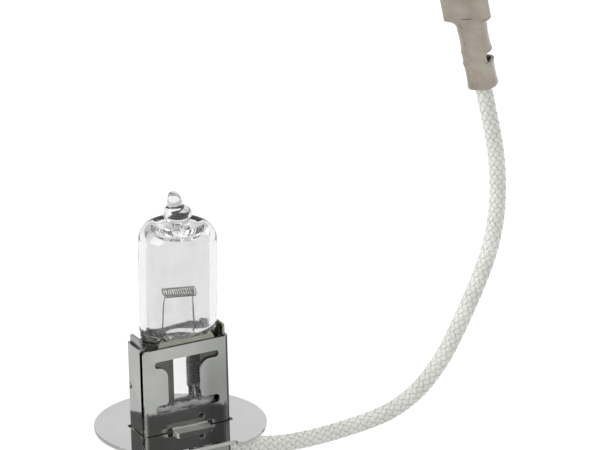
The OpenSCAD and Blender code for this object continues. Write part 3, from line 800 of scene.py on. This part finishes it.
def envelope_ring(z, radius, flat=0.0, inset=0.0, lean=0.0, lump=0.0, ripple=0.0):
    """A ring of the glass: round for flat = 0, and the pressed section for flat = 1."""
    ring = []
    for k in range(GLASS_SIDES):
        a = tau * k / GLASS_SIDES
        x_flat = PINCH_HALF_W * cos(a)
        y_flat = math.copysign(pinch_half_t(abs(x_flat)), sin(a))
        x_flat *= (1 - inset / PINCH_HALF_W) * (1 + PINCH_FLARE * smoothstep(10.0, 12.2, z))
        y_flat *= 1 - inset / RAIL_R
        x = radius * cos(a) * (1 - flat) + x_flat * flat
        y = radius * sin(a) * (1 - flat) + y_flat * flat
        swell = 1 + ripple * sin(4.2 * z + 1.6 * sin(1.1 * x + 0.4) + 0.7 * y)
        ring.append((x * (1 + (swell - 1) * 0.3) + lean, y * swell,
                     z + lump * (sin(1.9 * x + 0.6) + 0.5 * sin(4.3 * x + 2))))
    return ring


def leaned(rows):
    """The tube stands a little to the right over its pinch."""
    out = []
    for row in rows:
        turned = []
        for x, y, z in row:
            a = GLASS_LEAN * smoothstep(PINCH_TOP - 0.5, PINCH_TOP + 1, z)
            turned.append((x * cos(a) + (z - LEAN_Z) * sin(a), y,
                           LEAN_Z + (z - LEAN_Z) * cos(a) - x * sin(a)))
        out.append(turned)
    return out


def outer_glass():
    rows = [envelope_ring(PINCH_BOTTOM + FOOT_ROUND_Z * (1 - sin(a)), GLASS_R, 1,
                          FOOT_ROUND_X * (1 - cos(a)), lump=FOOT_LUMPS)
            for a in np.linspace(pi / 2, 0, 6)]
    rows += [envelope_ring(z, GLASS_R, 1, lump=FOOT_LUMPS * smoothstep(4.2, FOOT_TOP, z),
                           ripple=0.004)
             for z in np.linspace(FOOT_TOP, PINCH_TOP, 38)]
    depth = TUBE_Z - PINCH_TOP
    rows += [envelope_ring(PINCH_TOP + depth * (1 - cos(a)), GLASS_R, 1 - sin(a),
                           ripple=0.003 + 0.012 * sin(2 * a))
             for a in np.linspace(0.05, pi / 2, 30)]
    rows += [envelope_ring(z, GLASS_R) for z in np.linspace(TUBE_Z + 0.5, SHOULDER_Z - 0.4, 24)]
    rows += [envelope_ring(SHOULDER_Z + SHOULDER_H * sin(a),
                           GLASS_R - SHOULDER_R * (1 - cos(a)))
             for a in np.linspace(0, pi / 2, 24)]
    rows += [envelope_ring(z, r, lean=lean) for r, z, lean in EXHAUST]
    return skin(leaned(rows))


def inner_glass():
    """The gas space, facing inwards, with the sealed bore of the exhaust tube at its top."""
    cavity_r = GLASS_R - GLASS_WALL
    flat_x, flat_y = CAVITY_FLOOR
    turns = np.linspace(0, tau, GLASS_SIDES, endpoint=False)

    def floor_ring(x_half, y_half, z, share):
        slope, lumps = CAVITY_FLOOR_SLOPE * share, CAVITY_FLOOR_LUMPS * share
        row = []
        for t in turns:
            x, y = x_half * cos(t), y_half * sin(t)
            rise = sin(1.8 * x + 0.9) * cos(1.5 * y) + 0.5 * sin(3.9 * x - 1.2 * y)
            folds = sin(5.5 * x + 2.2 * y + 1.5 * z) * smoothstep(1.9, 3.0, x)
            row.append((x, y, z + slope * x + lumps * (rise + 2.5 * folds)))
        return row

    rows = [floor_ring(flat_x * q, flat_y * q, CAVITY_BOTTOM, 1.0)
            for q in (0.1, 0.35, 0.6, 0.85)]
    rows += [floor_ring(flat_x + (cavity_r - flat_x) * sin(a),
                        flat_y + (cavity_r - flat_y) * sin(a),
                        CAVITY_BOTTOM + CAVITY_CORNER_H * (1 - cos(a)), cos(a))
             for a in np.linspace(0, pi / 2, 20)]
    rows += [envelope_ring(z, cavity_r)
             for z in np.linspace(CAVITY_BOTTOM + CAVITY_CORNER_H + 0.4, SHOULDER_Z - 0.4, 24)]
    for a in np.linspace(0, pi / 2, 24):
        slope = Vector((cos(a) / SHOULDER_R, sin(a) / SHOULDER_H)).normalized() * GLASS_WALL
        rows.append(envelope_ring(SHOULDER_Z + SHOULDER_H * sin(a) - slope.y,
                                  GLASS_R - SHOULDER_R * (1 - cos(a)) - slope.x))
    rows += [envelope_ring(z, r) for r, z in ROOF]
    points, faces = skin(leaned(rows))
    return points, [tuple(reversed(f)) for f in faces]


piece("glass_burner", [outer_glass(), inner_glass()], GLASS, ["glass_envelope"])


# ---------- filament

WIRE_R = 0.08
COIL_R = 0.6
COIL_X, COIL_Z = 0.5, 17.8
COIL_LEN, COIL_TILT, COIL_TURNS = 4.5, radians(7), 14.5
COIL_STEPS = 348
LEG_X, LEG_Y, LEG_BOTTOM = (-2.1, 2.2), 0.12, 9.2
LEG_FREE_Z = CAVITY_BOTTOM + 0.1


def coil_point(share):
    turn = pi + tau * COIL_TURNS * share
    along = (share - 0.5) * COIL_LEN
    up = -COIL_R * sin(turn)
    return (COIL_X + along * cos(COIL_TILT) - up * sin(COIL_TILT), COIL_R * cos(turn),
            COIL_Z - along * sin(COIL_TILT) + up * cos(COIL_TILT))


def filament_line():
    coil = [coil_point(i / COIL_STEPS) for i in range(COIL_STEPS + 1)]
    left = [(LEG_X[0], -LEG_Y, z) for z in (LEG_BOTTOM, 11, 12.4, LEG_FREE_Z)]
    rise_l = [(-2.04, -0.32, 15), (-1.98, -0.46, 16.6), (-1.9, -0.53, 17.3)]
    rise_r = [(coil[-1][0], COIL_R, 16.9), (2.62, 0.4, 15.2), (2.52, 0.2, 13.4)]
    right = [(2.5, LEG_Y, 12.8), (2.4, LEG_Y, 11.8)]
    right += [(LEG_X[1], LEG_Y, z) for z in (10.4, LEG_BOTTOM)]
    start = smooth_line(left + rise_l + [coil[0]], 0.15)
    end = smooth_line([coil[-1]] + rise_r + right, 0.15)
    return np.concatenate([start[:-1], coil, end[1:]])


piece("filament_coil", [tube(filament_line(), WIRE_R, 8, (1, 0, 0))], TUNGSTEN,
      ["filament"])


# ---------- base shell

SHELL_W, SHELL_D, SHELL_T, SHELL_R = 12.2, 4.9, 0.35, 0.7
SHELL_TOP, BASE_BOTTOM = 11.5, -7.8
SEAM_END_Y = -1.4
TAB_X, TAB_HALF_W, TAB_RELIEF, TAB_OUT = 0.15, 2.5, 0.7, 1.75
TAB_BEND_Z, TAB_BEND_R = 0.6, 0.25
TAB_TIP_Z = TAB_BEND_Z - TAB_BEND_R * pi / 2 - (TAB_OUT - TAB_BEND_R)
TAB_OPENING_Z = -1.75
DENT_X, DENT_Z, DENT_R = 1.85, 1.35, 0.5
# The front plate curves back a little along its two upright edges
EDGE_CURVE, EDGE_FALL, EDGE_STEPS = 0.9, 0.09, 6
EDGE_LOW, EDGE_HIGH = -0.2, 0.3
SIDE_HOLE_Y, SIDE_HOLE_Z, SIDE_HOLE_R = 1.6, 5.8, 0.45
LEAD_HOLE_R = 1.75
SHELL_FOLD = Fold((-SHELL_W / 2, -SHELL_D / 2), (1, 0), [
    (SHELL_W - SHELL_R, SHELL_R), (SHELL_D - 2 * SHELL_R, SHELL_R),
    (SHELL_W - 2 * SHELL_R, SHELL_R), (SHELL_D / 2 - SHELL_R - SEAM_END_Y, 0)])
RIGHT_S, BACK_S, LEFT_S = (b for _, b in SHELL_FOLD.bends)
FRONT_END_S = SHELL_FOLD.bends[0][0]


def front_s(x):
    return x + SHELL_W / 2


def back_s(x):
    return BACK_S + SHELL_W / 2 - SHELL_R - x


def window(to_s):
    corners = [(-4.5, 2.75, .52), (4.5, 2.75, .52), (4.5, 3.9, .52), (1.9, 3.9, .5),
               (1.9, 8.98, 1.4), (4.5, 8.98, .38), (4.5, 9.85, .38), (-4.5, 9.85, .38),
               (-4.5, 8.98, .38), (-2.7, 8.98, 1.4), (-2.7, 3.9, .5), (-4.5, 3.9, .52)]
    return [(to_s(x), z) for x, z in rounded(corners)]


def tab_opening(to_s, middle):
    """The opening round a tab, which hangs in it from its top until it is bent out."""
    wide, top = TAB_HALF_W + TAB_RELIEF, TAB_BEND_Z
    corners = [(-wide, top, .3), (-TAB_HALF_W, top, 0), (-TAB_HALF_W, TAB_TIP_Z, .4),
               (TAB_HALF_W, TAB_TIP_Z, .4), (TAB_HALF_W, top, 0), (wide, top, .3),
               (wide, TAB_OPENING_Z, .2), (-wide, TAB_OPENING_Z, .2)]
    return [(to_s(middle + x), z) for x, z in rounded(corners)]


def dent_patch(s, z):
    """A small round pit left by the welding electrode."""
    rings = [(DENT_R, 0), (0.44, -0.01), (0.37, -0.05), (0.29, -0.11), (0.2, -0.16), (0.1, -0.185)]
    n = 32
    rows = [[(x, y, depth) for x, y in circle(s, z, r, n)] for r, depth in rings]
    points, faces = skin(rows, caps=False)
    centre = len(points)
    points.append((s, z, -0.19))
    last = (len(rows) - 1) * n
    faces += [(last + k, last + (k + 1) % n, centre) for k in range(n)]
    return points, faces


def place_shell(point):
    """Folds the shell's strip round, and bends its two foot tabs outwards."""
    s, z, h = point
    for to_x, middle in ((s - SHELL_W / 2, TAB_X),
                         (BACK_S + SHELL_W / 2 - SHELL_R - s, -TAB_X)):
        if abs(to_x - middle) < TAB_HALF_W + 1e-3 and TAB_TIP_Z - 0.01 < z < TAB_BEND_Z:
            drop = TAB_BEND_Z - z
            a = min(drop / TAB_BEND_R, pi / 2)
            out = TAB_BEND_R * (1 - cos(a)) + max(drop - TAB_BEND_R * pi / 2, 0)
            x, y, _ = SHELL_FOLD.place((s, z, out + h * cos(a)))
            return (x, y, TAB_BEND_Z - TAB_BEND_R * sin(a) + h * sin(a))
    edge = max(0.0, 1 - s / EDGE_CURVE, 1 - (FRONT_END_S - s) / EDGE_CURVE)
    fall = EDGE_FALL * edge ** 2 if s < FRONT_END_S else 0.0
    return SHELL_FOLD.place((s, z, h - fall * smoothstep(EDGE_LOW, EDGE_HIGH, z)))


def shell_part():
    end = SHELL_FOLD.length
    outline = rounded([(0, BASE_BOTTOM, .3), (end, BASE_BOTTOM, .3), (end, SHELL_TOP, .5),
                       (0, SHELL_TOP, .5)])
    left_side = LEFT_S + SHELL_D / 2 - SHELL_R - SIDE_HOLE_Y
    right_side = RIGHT_S + SHELL_D / 2 - SHELL_R
    holes = [window(front_s), window(back_s), tab_opening(front_s, TAB_X),
             tab_opening(back_s, -TAB_X), circle(front_s(DENT_X), DENT_Z, DENT_R),
             circle(left_side, SIDE_HOLE_Z, SIDE_HOLE_R),
             circle(right_side, LEAD_EXIT[1], LEAD_HOLE_R, 48)]
    bend_rows = [TAB_BEND_Z - TAB_BEND_R * pi / 2 * k / 6 for k in range(7)]
    edge_cuts = [EDGE_CURVE * k / EDGE_STEPS for k in range(1, EDGE_STEPS + 1)]
    edge_cuts += [FRONT_END_S - c for c in edge_cuts]
    bend_rows += [EDGE_LOW, -0.1, 0.05, 0.15, EDGE_HIGH]
    points, faces = blank([outline, *holes], SHELL_FOLD.cuts() + edge_cuts, bend_rows,
                          [dent_patch(front_s(DENT_X), DENT_Z)])
    return [place_shell(p) for p in points], faces


SHELL_STEEL = shell_material()
shell = piece("base_shell", [shell_part()], SHELL_STEEL, ["outer_shell"])
thicken(shell, SHELL_T, 0.05)


# ---------- burner clamp

CLAMP_W, CLAMP_D, CLAMP_T, CLAMP_R = 11.4, 4.2, 0.3, 0.8
CLAMP_BOTTOM, CLAMP_FRONT_BOTTOM = 2.45, 3.9
CLAMP_WALL_TOP, CLAMP_CUT_Z = 12.25, 11.3
CLAMP_TAB_TOP = (12.6, 13.0)
CLAMP_TAB_FLAT, CLAMP_TAB_W = 0.7, 3.05
CLAMP_WALL_X = (-3.8, 4.3)
CLAMP_SLOPE = 0.4
CLAMP_SLOT_X, CLAMP_SLOT_LEFT, CLAMP_SLOT_TOP = 2.05, -1.75, 10.3
CLAMP_LEAN_IN, CLAMP_LEAN_FROM = 0.12, 11.4
# The tabs come out of the rounded corners between these heights
TAB_FLAT_Z = (CLAMP_CUT_Z - 0.4, CLAMP_CUT_Z + 0.1)
CLAMP_SEAM = 0.04
CLAMP_BEND = CLAMP_R * pi / 2
CLAMP_HALF, CLAMP_SIDE = CLAMP_W / 2 - CLAMP_R, CLAMP_D - 2 * CLAMP_R
CLAMP_FOLD = Fold((-CLAMP_SEAM, CLAMP_D / 2), (-1, 0), [
    (CLAMP_HALF - CLAMP_SEAM, CLAMP_R), (CLAMP_SIDE, CLAMP_R), (2 * CLAMP_HALF, CLAMP_R),
    (CLAMP_SIDE, CLAMP_R), (CLAMP_HALF - CLAMP_SEAM, 0)])
LEFT_WALL_S, RIGHT_WALL_S = CLAMP_FOLD.bends[0][1], CLAMP_FOLD.bends[2][1]


def place_clamp(point):
    """Folds the strip round, keeps its two tabs flat, and leans the long walls' tops in."""
    s, z, h = point
    lean = CLAMP_LEAN_IN * smoothstep(CLAMP_LEAN_FROM, CLAMP_WALL_TOP, z)
    x, y, _ = CLAMP_FOLD.place((s, z, h - lean))
    for wall, side in ((LEFT_WALL_S, -1), (RIGHT_WALL_S, 1)):
        if wall - CLAMP_BEND < s < wall + CLAMP_TAB_W and z > TAB_FLAT_Z[0]:
            share = smoothstep(*TAB_FLAT_Z, z)
            share *= smoothstep(wall - CLAMP_BEND, wall - CLAMP_TAB_FLAT, s)
            flat_y = side * (s - wall - CLAMP_D / 2 + CLAMP_R)
            x += (side * (CLAMP_W / 2 + h) - x) * share
            y += (flat_y - y) * share
    return (x, y, z)


def clamp_part():
    end = CLAMP_FOLD.length
    half = CLAMP_HALF
    _, (_, front), _, (_, back_start) = CLAMP_FOLD.bends

    # Where an x on the back's left half, on the front and on the back's right half lies
    def x_back_left(x):
        return -CLAMP_SEAM - x

    def x_front(x):
        return front + half + x

    def x_back_right(x):
        return back_start + half - x

    def tab(wall, top):
        low = wall - CLAMP_TAB_FLAT
        high = low + CLAMP_TAB_W
        return [(high, CLAMP_CUT_Z, .1), (high - CLAMP_SLOPE, top, .3), (low, top, .3),
                (low, CLAMP_CUT_Z, .1)]

    bend, front_bottom = CLAMP_BEND, CLAMP_FRONT_BOTTOM
    low_x, high_x = CLAMP_WALL_X
    top, cut = CLAMP_WALL_TOP, CLAMP_CUT_Z
    slot, slot_left, slot_top = CLAMP_SLOT_X, CLAMP_SLOT_LEFT, CLAMP_SLOT_TOP
    bottom = CLAMP_BOTTOM
    outline = rounded([
        (0, slot_top, 0), (x_back_left(-slot), slot_top, .4), (x_back_left(-slot), bottom, .2),
        (front - bend, bottom, .2), (front - bend, front_bottom, .2),
        (x_front(slot_left), front_bottom, .2), (x_front(slot_left), slot_top, .5),
        (x_front(slot), slot_top, .5), (x_front(slot), front_bottom, .2),
        (x_front(half) + bend, front_bottom, .2), (x_front(half) + bend, bottom, .2),
        (x_back_right(slot), bottom, .2), (x_back_right(slot), slot_top, .4),
        (end, slot_top, 0), (end, top, .2),
        (x_back_right(high_x - CLAMP_SLOPE), top, .3), (x_back_right(high_x), cut, .2),
        *tab(RIGHT_WALL_S, CLAMP_TAB_TOP[1]),
        (x_front(high_x), cut, .2), (x_front(high_x - CLAMP_SLOPE), top, .3),
        (x_front(low_x + CLAMP_SLOPE), top, .3), (x_front(low_x), cut, .2),
        *tab(LEFT_WALL_S, CLAMP_TAB_TOP[0]),
        (x_back_left(low_x), cut, .2), (x_back_left(low_x + CLAMP_SLOPE), top, .3),
        (0, top, .2)])
    points, faces = blank([outline], CLAMP_FOLD.cuts(),
                          [CLAMP_CUT_Z - 0.5 + 0.1 * k for k in range(19)])
    return [place_clamp(p) for p in points], faces


clamp = piece("burner_clamp_sheet", [clamp_part()], CLAMP_STEEL, ["burner_clamp"])
thicken(clamp, CLAMP_T, 0.04)


# ---------- flange

FLANGE_R, FLANGE_T, FLANGE_GAP, FLANGE_HOLE_R = 11.0, 0.5, 0.2, 0.4
NOTCH_FLOOR, NOTCH_HALF_W, NOTCH_R, NOTCH_CHAMFER = 9.0, 3.3, 0.8, 0.15


def flange_part():
    """A disc with a keyed notch in its rim and an oblong hole for the shell."""
    x = NOTCH_HALF_W + NOTCH_R
    y = -sqrt((FLANGE_R - NOTCH_R) ** 2 - x * x)
    rim = math.atan2(y, x)
    rim_arc = [(FLANGE_R * cos(a), FLANGE_R * sin(a))
               for a in np.linspace(rim, pi - rim, 220)]
    left = [(-x + NOTCH_R * cos(a), y + NOTCH_R * sin(a))
            for a in np.linspace(pi - rim - tau, 0, 10)][1:]
    right = [(-px, py) for px, py in reversed(left)]
    inner, floor_y = NOTCH_CHAMFER, -NOTCH_FLOOR
    floor = [(-NOTCH_HALF_W, floor_y - inner), (-NOTCH_HALF_W + inner, floor_y),
             (NOTCH_HALF_W - inner, floor_y), (NOTCH_HALF_W, floor_y - inner)]
    outline = rim_arc + left + floor + right
    hx, hy, hr = SHELL_W / 2 + FLANGE_GAP, SHELL_D / 2 + FLANGE_GAP, FLANGE_HOLE_R
    hole = rounded([(-hx, -hy, hr), (hx, -hy, hr), (hx, hy, hr), (-hx, hy, hr)])
    return blank([outline, hole])


flange = piece("flange_disc", [flange_part()], FLANGE_STEEL, ["flange"])
thicken(flange, FLANGE_T, 0.06, 3)


# ---------- hidden parts

KEPT = {
    "foil_left": (MOLYBDENUM, 0.01), "foil_right": (MOLYBDENUM, 0.01),
    "outer_lead_left": (MOLYBDENUM, 0.06), "outer_lead_right": (MOLYBDENUM, 0.06),
    "insulator_body": (CERAMIC, 0.08), "insulator_cap": (CERAMIC, 0.08),
    "earth_strip": (SHELL_STEEL, 0.03), "splice_clip": (BRASS, 0.05),
    "base_cover": (SHELL_STEEL, 0.06),
}
for node, (material, bevel) in KEPT.items():
    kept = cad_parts[node]
    kept.data.materials.clear()
    kept.data.materials.append(material)
    weld = kept.modifiers.new("weld", "WELD")
    weld.merge_threshold = 0.002 * MM
    soften(kept, bevel, 2, 35)


# ---------- floor and light

FLOOR_Z = BASE_BOTTOM * MM
FLOOR_RADIUS = 3.0
FLOOR_GLOW = 1.04
LAMP_MIDDLE = Vector((0.02, 0, 0.015))
FRONT_LIGHT, BACK_LIGHT, TOP_LIGHT = 0.8, 0.64, 1.1
SIDE_LIGHT = 1.05
# Direction, inner and outer half angle, and strength of each dark place: what the flange
# mirrors into the front plate, and what it mirrors into the left wall
DARK_PLACES = [
    ((0.42, -0.836, 0.353), radians(10), radians(20), 0.16),
    ((-0.42, 0.836, 0.353), radians(14), radians(26), 0.2),
]


def make_floor():
    bpy.ops.mesh.primitive_circle_add(
        vertices=96, radius=FLOOR_RADIUS, fill_type="NGON", location=(0, 0, FLOOR_Z))
    floor = bpy.context.object
    floor.name = "floor"
    table = material_nodes("white table", Base_Color=(0.05, 0.05, 0.05, 1), Roughness=1.0,
                           Specular_IOR_Level=0.0, Emission_Color=(1, 1, 1, 1),
                           Emission_Strength=FLOOR_GLOW).owner
    table.cycles.emission_sampling = "NONE"
    floor.data.materials.append(table)
    floor.visible_diffuse = False


def make_world():
    """A bright studio, dimmer behind the lamp, with two dark places for the sheet to mirror."""
    world = bpy.data.worlds.new("studio")
    scene.world = world
    w = Nodes(world, "Background", Color=(1, 1, 1, 1))
    around = w.coords("Generated")

    def blend(direction, low, high, far, near):
        """From far to near as the sky's direction turns towards this one, by its cosine."""
        turned = w.vectors("DOT_PRODUCT", around, direction)
        return w.scaled(turned, low, high, far, near, "SMOOTHSTEP")

    back = Vector((-sin(AZIMUTH), cos(AZIMUTH), 0))
    sky = blend(back, -0.55, 0.45, FRONT_LIGHT, BACK_LIGHT)
    for side in (LEVEL_RIGHT, -LEVEL_RIGHT):
        sky = blend(side, 0.6, 0.92, sky, SIDE_LIGHT)
    sky = blend((0, 0, 1), 0.40, 0.85, sky, TOP_LIGHT)
    for direction, inner, outer, strength in DARK_PLACES:
        sky = blend(direction, cos(outer), cos(inner), sky, strength)
    w.set("Strength", sky)
    world.cycles.sampling_method = "NONE"


def make_light(name, direction, distance, size, power):
    """A soft square light that looks at the lamp and stays out of the picture."""
    data = bpy.data.lights.new(name, "AREA")
    data.shape = "SQUARE"
    data.size = size
    data.energy = power
    light = bpy.data.objects.new(name, data)
    scene.collection.objects.link(light)
    out = Vector(direction).normalized()
    light.location = LAMP_MIDDLE + out * distance
    light.rotation_mode = "QUATERNION"
    light.rotation_quaternion = out.to_track_quat("Z", "Y")
    light.visible_camera = False


make_floor()
make_world()
make_light("left soft box", (-1.0, 0.1, 0.45), 0.7, 0.45, 2.2)
make_light("right soft box", (1.0, 0.5, 0.5), 0.8, 0.4, 0.8)
scene.view_settings.view_transform = "Standard"
scene.view_settings.look = "None"
